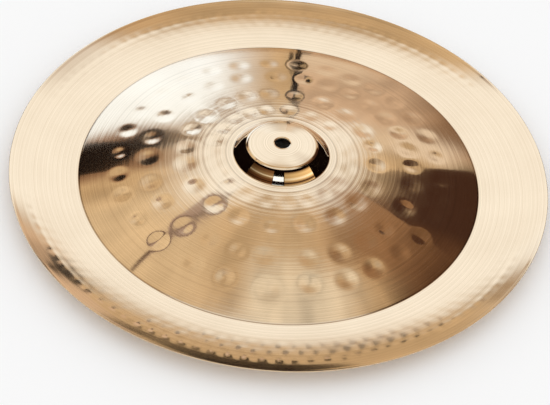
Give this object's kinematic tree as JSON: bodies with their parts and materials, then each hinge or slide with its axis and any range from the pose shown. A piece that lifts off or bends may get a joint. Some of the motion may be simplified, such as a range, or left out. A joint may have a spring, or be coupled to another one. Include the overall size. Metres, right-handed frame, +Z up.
{
  "type": "china cymbal",
  "caption": "Thin hammered bronze disc cymbal with a domed bell, a centre hole, a low bow with rows of dents, a sharp crease and a wide turned-up flange.",
  "frame": {"origin": "on the cymbal's axis, in the plane that the underside of the crease rests on", "axes": "+Z up along the axis, out of the top of the bell; X and Y lie in the disc, which has no preferred direction"},
  "size_m": [0.4572, 0.4572, 0.035],
  "materials": {
    "bronze": "bright lathe-turned cymbal bronze, hammered, with a clear coat"
  },
  "bodies": {
    "root": {"cymbal": "bronze"}
  },
  "joints": []
}
